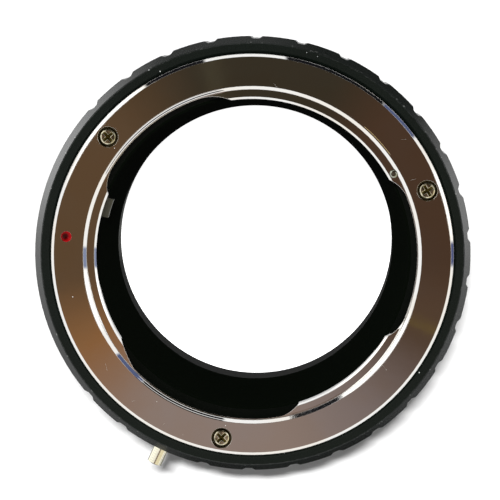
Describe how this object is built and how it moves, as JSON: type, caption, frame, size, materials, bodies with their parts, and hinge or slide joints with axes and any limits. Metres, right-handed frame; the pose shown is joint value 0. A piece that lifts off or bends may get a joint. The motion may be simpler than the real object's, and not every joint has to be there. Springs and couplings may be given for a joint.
{
  "type": "lens mount adapter",
  "caption": "Short round barrel that carries a lens bayonet socket with a sprung lens lock at one end and a male camera bayonet at the other.",
  "frame": {"origin": "optical axis at the face that seats on the camera", "axes": "+Z along the optical axis towards the lens, +Y up in the picture, +X to the right there"},
  "size_m": [0.063, 0.063, 0.031],
  "materials": {
    "black_anodised": "satin black anodised, worn bright along the rim",
    "chrome": "polished chrome plate with fine handling scratches",
    "nickel": "yellowish nickel plate",
    "steel": "dull stamped steel",
    "red_paint": "red paint in a drilled mark"
  },
  "bodies": {
    "adapter": {"main_body": "black_anodised", "lens_mount_ring": "chrome", "lens_mount_screws": "nickel", "lens_index_dot": "red_paint", "stop_pin": "steel", "lock_pivot_screw": "steel", "lock_spring": "steel", "camera_mount_ring": "chrome", "camera_mount_screws": "nickel", "camera_index_dot": "red_paint"},
    "lock": {"lock_lever": "steel", "release_pin": "chrome"}
  },
  "joints": [
    {"name": "lock_swing", "type": "hinge", "parent": "adapter", "child": "lock", "pos_m": [-0.02452, -0.01143, 0.02], "axis": [0, 0, 1], "range_deg": [0, 3.2], "stiffness_Nm_per_rad": 0.06, "springref_deg": -5.73, "deforming": ["lock_spring"]}
  ]
}
